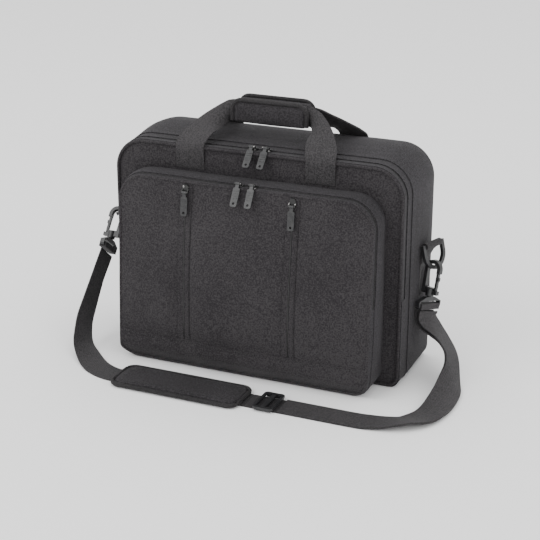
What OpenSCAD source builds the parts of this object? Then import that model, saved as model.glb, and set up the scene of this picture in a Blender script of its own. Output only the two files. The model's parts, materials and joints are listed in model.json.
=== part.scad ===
// Soft-sided flight bag with a zipped front pocket, twin carry handles and a clip-on shoulder strap.
// Millimetres. +X is to the bag's right, -Y is its front, +Z is up and z = 0 is the ground.

/* [Bag body] */
// Width across the side seams
body_w = 430; // [410:5:450]
// Height of the front and back panels
panel_h = 313; // [305:1:325]
// Depth from the front panel to the back panel
body_d = 130; // [120:5:140]
// Radius of the upper corners of the panels
corner_r = 42; // [36:1:48]
// Radius of the lower corners of the panels
base_r = 16; // [12:1:20]
// Height where the main zip ends and the front folds
fold_z = 130; // [120:1:136]
// Thickness of the gusset cloth with its lining
gusset_t = 2.4; // [2:0.1:3]
// Thickness of the padded front and back panels
panel_t = 4; // [3:0.5:5]
// Thickness of the foam board in the back
foam_t = 6; // [5:0.5:7]

/* [Zips] */
// Distance of the main zip behind the front seam
main_setback = 9; // [8.5:0.5:11]
// Distance of the pocket zip behind the pocket's front seam
pocket_setback = 5; // [5:0.5:7]
// Height of a zip's coil above its tape
coil_h = 1; // [0.8:0.1:1.2]
// Gap between the two sliders of a pair
slider_pitch = 21; // [20:0.5:23]
// Length of a zip pull
pull_l = 33; // [30:1:35]
// Width of a zip pull
pull_w = 10; // [8:0.5:11]
// Radius of the pin that a pull hangs on
pull_pin_r = 0.9; // [0.8:0.05:1]

/* [Front pocket] */
// Width of the pocket
pocket_w = 380; // [370:5:384]
// Height of the pocket's top seam
pocket_top = 277; // [270:1:280]
// How far the pocket stands out from the front panel at mid height
pocket_d = 50; // [46:1:54]
// Radius of the pocket's upper corners
pocket_r = 38; // [32:1:42]
// Angle by which the pocket's face leans back at the top
lean = 3.4; // [2:0.1:4]
// Height of the bottom band on the pocket's face
band_z = 46; // [40:1:52]
// Half the distance between the two upright zips
slit_x = 80; // [76:1:84]

/* [Handles] */
// Width of the handle webbing
handle_w = 43; // [40:1:46]
// Distance of each handle leg from the middle
leg_x = 98; // [95:1:102]
// Length of the padded grip
grip_l = 120; // [112:2:124]
// Height of the padded grip
grip_h = 41; // [38:1:44]
// Thickness of each half of the grip
grip_t = 18.4; // [17:0.2:18.6]

/* [Shoulder strap] */
// Width of the strap webbing
strap_w = 38; // [36:1:40]
// Thickness of one layer of webbing
web_t = 1.5; // [1.3:0.1:1.6]
// Length of the shoulder pad
pad_l = 194; // [185:1:196]
// Width of the shoulder pad
pad_w = 64; // [60:1:66]
// Thickness of the shoulder pad
pad_t = 9; // [8:0.5:10]
// Radius of the D-ring's bar
bar_r = 2.5; // [2.3:0.1:2.7]
// Outward swing of the right D-ring as it hangs
swing_r = 14; // [11:1:18]
// Outward swing of the left D-ring as it hangs
swing_l = 55; // [50:1:60]
// Forward lean of the left snap hook
lean_hook_l = 38; // [34:1:40]
// Forward lean of the right snap hook
lean_hook_r = 12; // [8:1:14]

/* [Hidden] */
$fn = 48;

far = 500;              // reach of the cutting blocks
gap = 0.3;              // running gap between two moving soft pieces
cloth = [0.22, 0.21, 0.22];
cloth_dark = [0.17, 0.16, 0.17];
web = [0.25, 0.24, 0.25];
plastic = [0.15, 0.15, 0.16];
metal = [0.3, 0.3, 0.31];
foam = [0.4, 0.4, 0.4];

face_y = -(body_d + pocket_d) / 2;      // pocket's face
seam_y = face_y + pocket_d;             // main front panel
back_y = seam_y + body_d;               // back panel
proud = 2;                              // gusset stands this far outside the panels
gusset_w = body_w + 2 * proud;
gusset_top = panel_h + 2 * proud;
gusset_back = back_y - panel_t;
zip_y = seam_y + main_setback;          // main zip's centre line
zip_half = 5;                           // width of one half of a zip
zip_seam_y = seam_y + 32;               // rear edge of the main zip's strip
pocket_zip_y = face_y + pocket_setback;
pocket_low = 3;                         // pocket's lowest edge
lean_z = 150;                           // height about which the face leans
fold_room = 26;                         // angle of the wedge left for the front's fold
face_t = 3;
slit_shift = -4;                        // the upright zips sit slightly left of centre
slit_w = 12;
slit_top = 268;                         // rest height of the upright zips' sliders
slider_mid = 4;                         // middle of each pair of sliders
slider_fwd = 4.8;                       // pin's distance forward of the slider's middle
slider_pin_z = 5.5;                     // pin's height above the slider's underside
grip_z = 338;                           // underside of the grip
part_y = (seam_y + back_y) / 2;         // where the two handles meet
bar = [235, 41, 190];                   // middle of the right D-ring's bar
ring_turn = 20;                         // turn of the right D-ring about the vertical
ring_in = 18;                           // half the clear width of a D-ring
ring_band = 5.5;
ring_drop = 12;                         // straight part of the D-ring's sides
hook_out = 12.8;                        // outer radius of the snap hook's arch
hook_in = 7.5;
hook_t = 7;
hook_arch = 2.3;                        // arch centre below the ring's band
hook_floor = 29;                        // lower end of the hook's opening
stud_r = 3;
base_top = 42.5;
base_low = 58;
base_half = 22.8;
run_y = -158;                           // middle of the strap's straight run on the ground
glide_x = 72;

// Rounded panel outline: upper radius rt, lower radius rb
module outline(w, z0, z1, rt, rb) {
    translate([-w / 2, z0 + rb]) square([w, z1 - rt - z0 - rb]);
    translate([rt - w / 2, z1 - rt - 0.01]) square([w - 2 * rt, rt + 0.01]);
    translate([rb - w / 2, z0]) square([w - 2 * rb, rb + 0.01]);
    for (s = [-1, 1]) {
        translate([s * (w / 2 - rt), z1 - rt]) circle(rt);
        translate([s * (w / 2 - rb), z0 + rb]) circle(rb);
    }
}

// The same outline as a band of thickness t, kept between the heights low and high
module band(w, z0, z1, rt, rb, t, low, high) {
    intersection() {
        difference() {
            outline(w, z0, z1, rt, rb);
            outline(w - 2 * t, z0 + t, z1 - t, rt - t, rb - t);
        }
        translate([-far, low]) square([2 * far, high - low]);
    }
}

// Stands an x-z drawing up between two depths
module upright(y0, y1) {
    translate([0, y1, 0]) rotate([90, 0, 0]) linear_extrude(y1 - y0) children();
}

// Leans a part back with the pocket's face
module leaned() {
    translate([0, face_y, lean_z]) rotate([-lean, 0, 0]) translate([0, -face_y, -lean_z]) children();
}

module main_band(t, low, high, grow = 0) {
    band(gusset_w + 2 * grow, 0, gusset_top + grow, corner_r + proud + grow, base_r, t + grow, low, high);
}

module pocket_band(t, low, high, grow = 0) {
    band(pocket_w + 2 * grow, pocket_low, pocket_top + grow, pocket_r + grow, base_r + 6, t + grow, low, high);
}

// Everything above the fold that moves with the front
module above_fold(z) {
    intersection() {
        children();
        translate([-far, -far, z]) cube([2 * far, 2 * far, far]);
    }
}

// Everything below the wedge in which the front folds
module below_fold() {
    difference() {
        children();
        translate([-far, seam_y, fold_z - 0.5]) rotate([fold_room, 0, 0])
            translate([0, -far, 0]) cube([2 * far, far, far]);
        translate([-far, seam_y - 0.01, fold_z - 0.5]) cube([2 * far, far, far]);
    }
}

/* Body */

module back_panel() color(cloth)
    upright(gusset_back, back_y) outline(body_w, proud, panel_h, corner_r, base_r);

module back_foam() color(foam)
    upright(gusset_back - foam_t, gusset_back) outline(body_w - 20, 8, panel_h - 10, corner_r - 8, base_r - 6);

module upper_gusset() color(cloth)
    upright(zip_seam_y, gusset_back) main_band(gusset_t, fold_z, far);

module zip_gusset() color(cloth_dark)
    upright(zip_y + zip_half, zip_seam_y) main_band(gusset_t, fold_z, far);

module main_zip_rear() color(plastic) {
    upright(zip_y + gap / 2, zip_y + zip_half) main_band(gusset_t, fold_z + 0.5, far);
    upright(zip_y + gap / 2, zip_y + 1.6) main_band(gusset_t, fold_z + 0.5, far, coil_h);
}

module lower_gusset() color(cloth)
    upright(seam_y + panel_t, gusset_back) main_band(gusset_t, 0, fold_z);

module lower_front_panel() color(cloth)
    upright(seam_y, seam_y + panel_t)
        intersection() {
            outline(body_w, proud, panel_h, corner_r, base_r);
            translate([-far, 0]) square([2 * far, fold_z - 0.5]);
        }

module base_board() color(foam)
    translate([16 - body_w / 2, seam_y + panel_t + 4, gusset_t + 0.1])
        cube([body_w - 32, gusset_back - foam_t - seam_y - panel_t - 6, 3]);

module laptop_divider() color(cloth_dark)
    upright(52, 58) outline(body_w - 30, 6, 250, 20, 4);

module divider_strap() color(web) {
    translate([-19, 49.8, 250.2]) cube([38, gusset_back - foam_t - 49.8, 2]);
    translate([-19, 49.8, 205]) cube([38, 2, 45.2]);
}

/* Lower, fixed part of the pocket */

module behind_face(y) {
    intersection() {
        children();
        leaned() translate([-far, y, -far]) cube([2 * far, 2 * far, 3 * far]);
    }
}

module pocket_base_gusset() color(cloth)
    below_fold() behind_face(face_y + face_t)
        upright(face_y - 20, seam_y) pocket_band(gusset_t, 0, fold_z);

module leaned_face(low, high) {
    leaned() upright(face_y, face_y + face_t)
        intersection() {
            outline(pocket_w - 2, pocket_low + 1, pocket_top - 1, pocket_r - 1, base_r + 5);
            translate([-far, low]) square([2 * far, high - low]);
        }
}

module pocket_lower_face() color(cloth) below_fold() leaned_face(band_z, fold_z);

module bottom_band() color(cloth_dark) leaned_face(0, band_z);

/* Front that folds down */

module upper_front_panel() color(cloth)
    upright(seam_y, seam_y + panel_t)
        intersection() {
            outline(body_w, proud, panel_h, corner_r, base_r);
            translate([-far, fold_z + 0.5]) square([2 * far, far]);
        }

module main_zip_front() color(plastic) {
    upright(seam_y + panel_t, zip_y - gap / 2) main_band(gusset_t, fold_z + 0.5, far);
    upright(zip_y - 1.6, zip_y - gap / 2) main_band(gusset_t, fold_z + 0.5, far, coil_h);
}

module pocket_gusset() color(cloth)
    above_fold(fold_z + 0.5) behind_face(pocket_zip_y + zip_half)
        upright(face_y - 20, seam_y) pocket_band(gusset_t, fold_z - 20, far);

module pocket_zip_rear() color(plastic)
    above_fold(fold_z + 0.5) leaned() {
        upright(pocket_zip_y + gap / 2, pocket_zip_y + zip_half) pocket_band(gusset_t, fold_z - 20, far);
        upright(pocket_zip_y + gap / 2, pocket_zip_y + 1.6) pocket_band(gusset_t, fold_z - 20, far, coil_h);
    }

/* Pocket's opening face */

module pocket_zip_front() color(plastic)
    above_fold(fold_z + 2) leaned() {
        upright(face_y + face_t, pocket_zip_y - gap / 2) pocket_band(gusset_t, fold_z - 20, far);
        upright(pocket_zip_y - 1.6, pocket_zip_y - gap / 2) pocket_band(gusset_t, fold_z - 20, far, coil_h);
    }

module slit_strips(extra) {
    for (s = [-1, 1]) translate([s * slit_x + slit_shift - slit_w / 2 - extra, 0])
        square([slit_w + 2 * extra, far]);
}

module pocket_face_panels() color(cloth)
    above_fold(fold_z + 2) leaned() upright(face_y, face_y + face_t)
        difference() {
            outline(pocket_w - 2, pocket_low + 1, pocket_top - 1, pocket_r - 1, base_r + 5);
            slit_strips(0.1);
        }

// An upright zip with its tapes and coil; side is -1 or 1
module slit_zip(side) {
    x = side * slit_x + slit_shift;
    color(plastic) above_fold(fold_z + 2) leaned() {
        translate([x - slit_w / 2, face_y, fold_z - 20]) cube([slit_w, face_t, pocket_top - 1 - fold_z + 20]);
        translate([x - 1.5, face_y - coil_h, fold_z - 20]) cube([3, coil_h, pocket_top - 1 - fold_z + 20]);
    }
}

module slit_zip_left() slit_zip(-1);
module slit_zip_right() slit_zip(1);

/* Zip sliders and pulls */

// Slider with its underside at z = 0 and its pin along X; the body is turned to suit its zip
module slider(turn) color(metal) {
    linear_extrude(3) rotate(turn) polygon([[-6, -2.5], [-3.5, -4.5], [3.5, -4.5], [6, -2.5],
        [6, 2.5], [3.5, 4.5], [-3.5, 4.5], [-6, 2.5]]);
    for (x = [-5.2, 3.4]) hull() {
        translate([x, -3.2, 2.5]) cube([1.8, 3.6, 0.4]);
        translate([x, -slider_fwd, slider_pin_z]) rotate([0, 90, 0]) cylinder(r = 1.6, h = 1.8);
    }
    translate([-4, -slider_fwd, slider_pin_z]) rotate([0, 90, 0]) cylinder(r = pull_pin_r, h = 8);
}

// Pull that hangs from its pin at the origin
module pull() color(plastic) difference() {
    union() {
        translate([-3.1, 0, 0]) rotate([0, 90, 0]) cylinder(r = 2.2, h = 6.2);
        translate([-2.6, -1.1, -7]) cube([5.2, 2.2, 6]);
        translate([0, 1.1, 0]) rotate([90, 0, 0]) linear_extrude(2.2)
            outline(pull_w, -pull_l, -6, 2, 3);
        for (k = [0:3]) translate([-pull_w / 2 + 1.5, -1.6, -11 - 3.5 * k]) cube([pull_w - 3, 3.2, 1.4]);
    }
    translate([-4, 0, 0]) rotate([0, 90, 0]) cylinder(r = pull_pin_r + 0.08, h = 8);
    translate([0, 3, 4.5 - pull_l]) rotate([90, 0, 0]) cylinder(r = 1.8, h = 6);
}

module on_main_zip(side)
    translate([slider_mid + side * slider_pitch / 2, zip_y, gusset_top + coil_h + gap]) children();

module on_pocket_zip(side)
    leaned() translate([slider_mid + side * slider_pitch / 2, pocket_zip_y, pocket_top + coil_h + gap]) children();

module on_slit_zip(side)
    leaned() translate([side * slit_x + slit_shift, face_y - coil_h - gap, slit_top]) rotate([90, 0, 0]) children();

module hung(angle) translate([0, -slider_fwd, slider_pin_z]) rotate([angle, 0, 0]) pull();

module main_slider_left() on_main_zip(-1) slider(0);
module main_slider_right() on_main_zip(1) slider(0);
module pocket_slider_left() on_pocket_zip(-1) slider(0);
module pocket_slider_right() on_pocket_zip(1) slider(0);
module slit_slider_left() on_slit_zip(-1) slider(90);
module slit_slider_right() on_slit_zip(1) slider(90);
module main_pull_left() on_main_zip(-1) hung(-42);
module main_pull_right() on_main_zip(1) hung(-42);
module pocket_pull_left() on_pocket_zip(-1) hung(-28);
module pocket_pull_right() on_pocket_zip(1) hung(-28);
module slit_pull_left() on_slit_zip(-1) hung(-94);
module slit_pull_right() on_slit_zip(1) hung(-94);

/* Webbing swept along hand-laid points: each row is a centre, a width direction, a width and an offset */

function unit(v) = v / norm(v);
function tangent(rows, i) = unit(rows[min(i + 1, len(rows) - 1)][0] - rows[max(i - 1, 0)][0]);
function across(rows, i) =
    let (t = tangent(rows, i), w = rows[i][1]) unit(w - (w * t) * t);
function ring_at(rows, i, t) =
    let (w = across(rows, i), n = cross(tangent(rows, i), w), c = rows[i][0] + n * rows[i][3], h = rows[i][2] / 2)
    [c - w * h - n * t / 2, c + w * h - n * t / 2, c + w * h + n * t / 2, c - w * h + n * t / 2];

// Smooth point between rows i and i + 1 of a path, u from 0 to 1
function spline(a, b, c, d, u) =
    0.5 * (2 * b + (c - a) * u + (2 * a - 5 * b + 4 * c - d) * u * u + (3 * b - a - 3 * c + d) * u * u * u);
function smooth_rows(rows, steps) = [for (i = [0:len(rows) - 2], k = [0:steps - 1])
        let (a = rows[max(i - 1, 0)], b = rows[i], c = rows[i + 1], d = rows[min(i + 2, len(rows) - 1)], u = k / steps)
        [for (j = [0:3]) spline(a[j], b[j], c[j], d[j], u)],
    rows[len(rows) - 1]];

module webbing(rows, t) {
    fine = smooth_rows(rows, 3);
    n = len(fine);
    points = [for (i = [0:n - 1]) each ring_at(fine, i, t)];
    last = 4 * n - 4;
    sides = [for (i = [0:n - 2], k = [0:3])
        let (a = 4 * i + k, b = 4 * i + (k + 1) % 4)
            each (k == 2 ? [[a, b, a + 4], [b, b + 4, a + 4]] : [[a, b, b + 4], [a, b + 4, a + 4]])];
    ends = [[2, 1, 0], [3, 2, 0], [last, last + 1, last + 2], [last, last + 2, last + 3]];
    polyhedron(points, concat(sides, ends), convexity = 6);
}

/* Handles */

module anchors(y) for (s = [-1, 1])
    translate([s * leg_x - handle_w / 2, y, 283]) cube([handle_w, 2.2, 36]);

module front_handle_anchors() color(web) anchors(seam_y - 2.2);
module rear_handle_anchors() color(web) anchors(back_y);

// One leg of the front handle, from its anchor to the middle of the grip
half_loop = [
    [[leg_x, seam_y - 1.1, 321.2], [1, 0, 0], handle_w, 0],
    [[leg_x - 0.3, seam_y + 3, 325.6], [1, 0, 0], handle_w, 0],
    [[leg_x - 4.5, seam_y + 12, 332.6], [1, 0.1, 0], handle_w, 0],
    [[leg_x - 13, seam_y + 28, 343], [0.9, 0.3, 0.3], handle_w - 6, 0],
    [[leg_x - 25, seam_y + 46, 353], [0.6, 0.3, 0.8], handle_w - 15, 0],
    [[leg_x - 36, seam_y + 55, 358], [0.2, 0.1, 1], handle_w - 17, 0],
    [[leg_x - 48, seam_y + 56, 358.5], [0, 0, 1], handle_w - 17, 0],
    [[leg_x - 70, seam_y + 56, 358.5], [0, 0, 1], handle_w - 17, 0]];
// The other leg: the same rows in reverse, mirrored in x
function flip_x(v) = [-v[0], v[1], v[2]];
function flip_rows(rows) = [for (i = [len(rows) - 1:-1:0])
    [flip_x(rows[i][0]), flip_x(rows[i][1]), rows[i][2], rows[i][3]]];

module handle_webbing() color(web) webbing(concat(half_loop, flip_rows(half_loop)), 2);

// Half of the padded grip, with a slot for the webbing
module grip() color(cloth_dark) difference() {
    intersection() {
        upright(part_y - 0.4 - grip_t, part_y - 0.4) outline(grip_l, grip_z, grip_z + grip_h, 14, 14);
        translate([-far, 0, 0]) rotate([90, 0, 90]) linear_extrude(2 * far) union() {
            translate([part_y - 0.4 - grip_t + 8, grip_z]) square([grip_t - 8, grip_h]);
            translate([part_y - 0.4 - grip_t, grip_z + 8]) square([10, grip_h - 16]);
            for (z = [grip_z + 8, grip_z + grip_h - 8]) translate([part_y - 0.4 - grip_t + 8, z]) circle(8);
        }
    }
    translate([-far, seam_y + 53, 358.5 - handle_w / 2 + 7]) cube([2 * far, 6, handle_w - 14]);
}

module to_rear() translate([0, 2 * part_y, 0]) mirror([0, 1, 0]) children();

module front_handle_webbing() handle_webbing();
module front_grip() grip();
module rear_handle_webbing() to_rear() handle_webbing();
module rear_grip() to_rear() grip();

/* Strap hardware */

module at_bar_right() translate(bar) rotate([0, 0, -ring_turn]) children();
module at_bar_left() mirror([1, 0, 0]) translate(bar) children();

// Webbing tab: sewn part on the gusset, then a loop round the D-ring's bar
module side_tab(turn) color(web) {
    tab_w = 2 * ring_in - 2;
    side_x = gusset_w / 2 + 0.1;
    difference() {
        union() {
            translate([side_x, bar[1] - tab_w / 2, 112]) cube([2.4, tab_w, 56]);
            hull() {
                translate([side_x + 0.1, bar[1] - tab_w / 2 + 0.2, 166]) cube([2.2, tab_w - 0.4, 1]);
                translate(bar) rotate([0, 0, -turn])
                    translate([-3.6, -tab_w / 2 + 0.2, -3.6]) cube([2.6, tab_w - 0.4, 1.6]);
            }
            translate(bar) rotate([0, 0, -turn]) rotate([90, 0, 0])
                cylinder(r = bar_r + 2.2, h = tab_w, center = true);
        }
        translate(bar) rotate([0, 0, -turn]) rotate([90, 0, 0])
            cylinder(r = bar_r + 0.08, h = 2 * tab_w, center = true);
    }
}

module side_tab_right() side_tab(ring_turn);
module side_tab_left() mirror([1, 0, 0]) side_tab(0);

// D-ring hanging from its bar, which lies along Y at the origin
module d_ring() color(plastic) {
    out = ring_in + ring_band;
    rotate([90, 0, 90]) translate([0, 0, -2.5]) linear_extrude(5) difference() {
        union() {
            translate([-out, -ring_drop]) square([2 * out, ring_drop + 2.5]);
            translate([0, -ring_drop]) circle(out);
        }
        translate([-ring_in, -ring_drop]) square([2 * ring_in, ring_drop + far]);
        translate([0, -ring_drop]) circle(ring_in);
    }
    rotate([90, 0, 0]) cylinder(r = bar_r, h = 2 * ring_in + 1, center = true);
}

ring_mid = ring_in + ring_band / 2;     // radius of the ring's rounded end at mid band

// Places a hook in its ring, slid round the end by the angle that it leans
module at_hook(swing, tip) rotate([0, -swing, 0])
    translate([0, -ring_mid * sin(tip), -ring_drop - ring_mid * cos(tip)])
        rotate([0, swing, 0]) rotate([-tip, 0, 0]) children();

// Snap hook without its gate: arch, shank, nose and the block that holds the swivel
module snap_hook() color(plastic) difference() {
    union() {
        rotate([90, 0, 0]) translate([0, 0, -hook_t / 2]) linear_extrude(hook_t) difference() {
            union() {
                translate([0, -hook_arch]) circle(hook_out);
                translate([-hook_out, -hook_floor - 9]) square([2 * hook_out, hook_floor + 9 - hook_arch]);
            }
            translate([0, -hook_arch]) circle(hook_in);
            translate([-hook_in, -hook_floor]) square([2 * hook_in, hook_floor - hook_arch]);
            translate([hook_in - 0.7, -hook_floor - 3.5]) square([far, hook_floor + 3.5 - 7.5]);
        }
        translate([0, 0, -hook_floor - 12]) cylinder(r = 6, h = 11);
        translate([9, 0, -hook_floor - 2]) rotate([90, 0, 0]) cylinder(r = 0.9, h = hook_t, center = true);
    }
    translate([0, 0, -base_top]) cylinder(r = stud_r + 0.06, h = 8);
}

module hook_gate() color(plastic) difference() {
    union() {
        translate([7.4, -hook_t / 2 + 1, -hook_floor + 0.4]) cube([3.2, hook_t - 2, hook_floor - 8.2]);
        translate([9, 0, -hook_floor - 2]) rotate([90, 0, 0]) cylinder(r = 1.4, h = hook_t - 2, center = true);
        translate([7.8, -hook_t / 2 + 1, -hook_floor - 2]) cube([2.4, hook_t - 2, 3]);
        translate([10.4, -2, -18]) cube([2, 4, 5]);
    }
    translate([9, 0, -hook_floor - 2]) rotate([90, 0, 0]) cylinder(r = 0.97, h = 2 * hook_t, center = true);
}

// Swivel base with its stud and the slot for the strap; its length lies along X
module swivel_base() color(plastic) {
    translate([0, 0, -base_top]) cylinder(r = stud_r, h = 5);
    rotate([90, 0, 0]) translate([0, 0, -3.5]) linear_extrude(7) difference() {
        union() {
            polygon([[-9, -base_top], [9, -base_top], [base_half, -base_top - 6], [base_half, -base_low + 4],
                [-base_half, -base_low + 4], [-base_half, -base_top - 6]]);
            translate([4 - base_half, -base_low]) square([2 * base_half - 8, 6]);
            for (s = [-1, 1]) translate([s * (base_half - 4), -base_low + 4]) circle(4);
        }
        translate([-strap_w / 2 - 1.2, -base_low + 4.4]) square([strap_w + 2.4, 5]);
    }
}

// End of the strap looped round the base's lower bar
module strap_loop() color(web)
    rotate([90, 0, 90]) translate([0, 0, -strap_w / 2]) linear_extrude(strap_w) difference() {
        translate([-5.4, -base_low - 2]) square([10.8, 8.2]);
        translate([-3.8, -base_low - 0.4]) square([7.6, 5]);
    }

module turned(angle) rotate([0, 0, angle]) children();

module d_ring_right() at_bar_right() rotate([0, -swing_r, 0]) d_ring();
module d_ring_left() at_bar_left() rotate([0, -swing_l, 0]) d_ring();
module snap_hook_right() at_bar_right() at_hook(swing_r, lean_hook_r) snap_hook();
module snap_hook_left() at_bar_left() at_hook(swing_l, lean_hook_l) snap_hook();
module hook_gate_right() at_bar_right() at_hook(swing_r, lean_hook_r) hook_gate();
module hook_gate_left() at_bar_left() at_hook(swing_l, lean_hook_l) hook_gate();
module swivel_base_right() at_bar_right() at_hook(swing_r, lean_hook_r) turned(85) swivel_base();
module swivel_base_left() at_bar_left() at_hook(swing_l, lean_hook_l) turned(90) swivel_base();
module strap_loop_right() at_bar_right() at_hook(swing_r, lean_hook_r) turned(85) strap_loop();
module strap_loop_left() at_bar_left() at_hook(swing_l, lean_hook_l) turned(90) strap_loop();

/* Shoulder strap */

lay = web_t / 2 + 0.1;  // height of a layer's middle when it lies on the ground

left_run = [
    [[-258.25, -10.6, 124], [0, 0.788, -0.616], strap_w, 0],
    [[-258.8, -17.2, 115.6], [0, 0.788, -0.616], strap_w, 0],
    [[-263.5, -33, 88], [0, 0.8, -0.6], strap_w, 0],
    [[-267, -50, 58], [0.1, 0.82, -0.55], strap_w, 0],
    [[-264, -74, 34], [0.15, 0.88, -0.45], strap_w, 0],
    [[-252, -98, 14], [0.2, 0.93, -0.3], strap_w, 0],
    [[-228, -124, 4], [0.4, 0.9, -0.1], strap_w, 0],
    [[-202, -146, lay + 0.4], [0.4, 0.9, 0], strap_w, 0],
    [[-174, -157.5, lay], [0.15, 1, 0], strap_w, 0],
    [[-150, run_y, lay], [0, 1, 0], strap_w, 0],
    [[-60, run_y, lay], [0, 1, 0], strap_w, 0],
    [[0, run_y, lay], [0, 1, 0], strap_w, 0],
    [[42, run_y, lay], [0, 1, 0], strap_w, 0]];

// Right half, from the swivel base down to the ground and round to the tri-glide
function right_run(d, spread) = [
    [[236.4, 22.1, 97.1], [0.415, 0.886, -0.207], strap_w, spread],
    [[235.8, 20.5, 90], [0.42, 0.88, -0.02], strap_w, spread],
    [[238.6, 20.2, 82.5], [0.35, 0.93, -0.05], strap_w, spread],
    [[249, 22, 71], [0.2, 0.95, -0.15], strap_w, d + (spread - d) * 0.6],
    [[262.5, 22, 56], [0.15, 0.94, -0.28], strap_w, d],
    [[275, 17, 38], [0.22, 0.88, -0.42], strap_w, d],
    [[283, -4, 20], [0.42, 0.62, -0.66], strap_w, d],
    [[288, -36, 11.5], [0.75, 0.25, -0.45], strap_w, d],
    [[288, -72, 6.5], [0.93, 0, -0.2], strap_w, d],
    [[284.5, -100, 4.2], [0.9, -0.4, 0], strap_w, d],
    [[277, -123, 4.4], [0.7, -0.7, 0.08], strap_w, d],
    [[260, -143, 6], [0.35, -0.88, 0.22], strap_w, d],
    [[236, -153, 3.5], [0.15, -0.97, 0.1], strap_w, d],
    [[212, -157, 1.3], [0.05, -1, 0], strap_w, d],
    [[190, run_y, lay], [0, -1, 0], strap_w, d],
    [[140, run_y, lay], [0, -1, 0], strap_w, d]];

module strap_left_run() color(web) webbing(left_run, web_t);
module strap_lower_layer() color(web)
    webbing(concat(right_run(0, -3.4), [[[90, run_y, lay], [0, -1, 0], strap_w, 0],
        [[42.5, run_y, lay], [0, -1, 0], strap_w, 0]]), web_t);
module strap_upper_layer() color(web)
    webbing(concat(right_run(web_t + 0.3, 3.4),
        [[[92, run_y, lay], [0, -1, 0], strap_w, web_t + 0.3]]), web_t);

// Strap adjuster: a frame with a middle bar and lips that reach down past the webbing
module tri_glide() color(plastic) translate([glide_x, run_y, 2 * web_t + 0.9]) {
    linear_extrude(3) difference() {
        outline(30, -25, 25, 5, 5);
        for (s = [-1, 1]) translate([s * 7.2 - 4, -20]) square([8, 40]);
    }
    for (s = [-1, 1]) translate([-12, s * 22 - 1.6, -2.4]) cube([24, 3.2, 2.5]);
}

// Shoulder pad with a channel for the strap on its underside
module shoulder_pad() color(cloth_dark) translate([-61, run_y - 2, 0.05]) difference() {
    linear_extrude(pad_t) rotate(-90) outline(pad_w, -pad_l / 2, pad_l / 2, 14, 14);
    translate([-far, 2 - strap_w / 2 - 3, -1]) cube([2 * far, strap_w + 6, web_t + 1.6]);
}

back_panel();
back_foam();
upper_gusset();
zip_gusset();
main_zip_rear();
lower_gusset();
lower_front_panel();
base_board();
laptop_divider();
divider_strap();
pocket_base_gusset();
pocket_lower_face();
bottom_band();
side_tab_left();
side_tab_right();
rear_handle_anchors();
strap_left_run();
strap_lower_layer();
strap_upper_layer();
upper_front_panel();
main_zip_front();
pocket_gusset();
pocket_zip_rear();
front_handle_anchors();
pocket_face_panels();
pocket_zip_front();
slit_zip_left();
slit_zip_right();
front_handle_webbing();
front_grip();
rear_handle_webbing();
rear_grip();
main_slider_left();
main_slider_right();
pocket_slider_left();
pocket_slider_right();
slit_slider_left();
slit_slider_right();
main_pull_left();
main_pull_right();
pocket_pull_left();
pocket_pull_right();
slit_pull_left();
slit_pull_right();
d_ring_left();
d_ring_right();
snap_hook_left();
snap_hook_right();
hook_gate_left();
hook_gate_right();
swivel_base_left();
swivel_base_right();
strap_loop_left();
strap_loop_right();
tri_glide();
shoulder_pad();
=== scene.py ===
import json
import math

import bpy
from mathutils import Matrix, Vector, noise


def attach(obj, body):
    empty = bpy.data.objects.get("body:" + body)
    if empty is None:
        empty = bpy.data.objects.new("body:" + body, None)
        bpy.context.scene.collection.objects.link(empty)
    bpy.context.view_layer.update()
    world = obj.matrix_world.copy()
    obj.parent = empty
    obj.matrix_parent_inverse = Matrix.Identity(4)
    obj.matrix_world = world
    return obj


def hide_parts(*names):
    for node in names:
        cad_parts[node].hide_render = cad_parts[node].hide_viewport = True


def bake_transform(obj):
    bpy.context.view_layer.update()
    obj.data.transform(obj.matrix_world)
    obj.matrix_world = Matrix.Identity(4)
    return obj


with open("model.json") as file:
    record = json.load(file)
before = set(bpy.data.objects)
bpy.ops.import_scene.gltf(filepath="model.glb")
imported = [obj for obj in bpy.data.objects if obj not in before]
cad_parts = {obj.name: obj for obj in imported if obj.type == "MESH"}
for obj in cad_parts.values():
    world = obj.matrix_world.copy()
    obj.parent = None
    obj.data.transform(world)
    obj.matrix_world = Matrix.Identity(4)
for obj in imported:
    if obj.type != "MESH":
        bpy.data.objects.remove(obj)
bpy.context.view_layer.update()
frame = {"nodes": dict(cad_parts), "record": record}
print("frame loaded")

# camera, floor and light

cameraSetup = {"aim": (0, 0.010, 0.170), "azimuth": 23.25, "elevation": 19.75, "distance": 1.980,
               "lens": 91.4, "shift": (0.002, -0.052)}
studio = {"floor": 14.0, "floorColour": (0.95, 0.95, 0.95, 1), "world": (1.0, 1.0, 1.0, 1),
          "worldPower": 1.45,
          "lights": [
              {"name": "keySoftbox", "at": (-1.6, -2.2, 2.4), "size": 1.8, "power": 44},
              {"name": "fillSoftbox", "at": (2.4, -1.4, 1.5), "size": 1.8, "power": 16},
              {"name": "topSoftbox", "at": (0.0, 0.7, 2.6), "size": 2.2, "power": 10}]}


def deselectAll():
    if bpy.context.object and bpy.context.object.mode != "OBJECT":
        bpy.ops.object.mode_set(mode="OBJECT")
    bpy.ops.object.select_all(action="DESELECT")


def setCamera(setup):
    azimuth, elevation = math.radians(setup["azimuth"]), math.radians(setup["elevation"])
    back = Vector((math.sin(azimuth) * math.cos(elevation), -math.cos(azimuth) * math.cos(elevation),
                   math.sin(elevation)))
    bpy.ops.object.camera_add(location=Vector(setup["aim"]) + back * setup["distance"])
    camera = bpy.context.object
    camera.rotation_mode = "QUATERNION"
    camera.rotation_quaternion = (-back).to_track_quat("-Z", "Y")
    camera.data.lens = setup["lens"]
    camera.data.shift_x, camera.data.shift_y = setup["shift"]
    camera.data.clip_start, camera.data.clip_end = 0.05, 60
    bpy.context.scene.camera = camera


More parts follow.
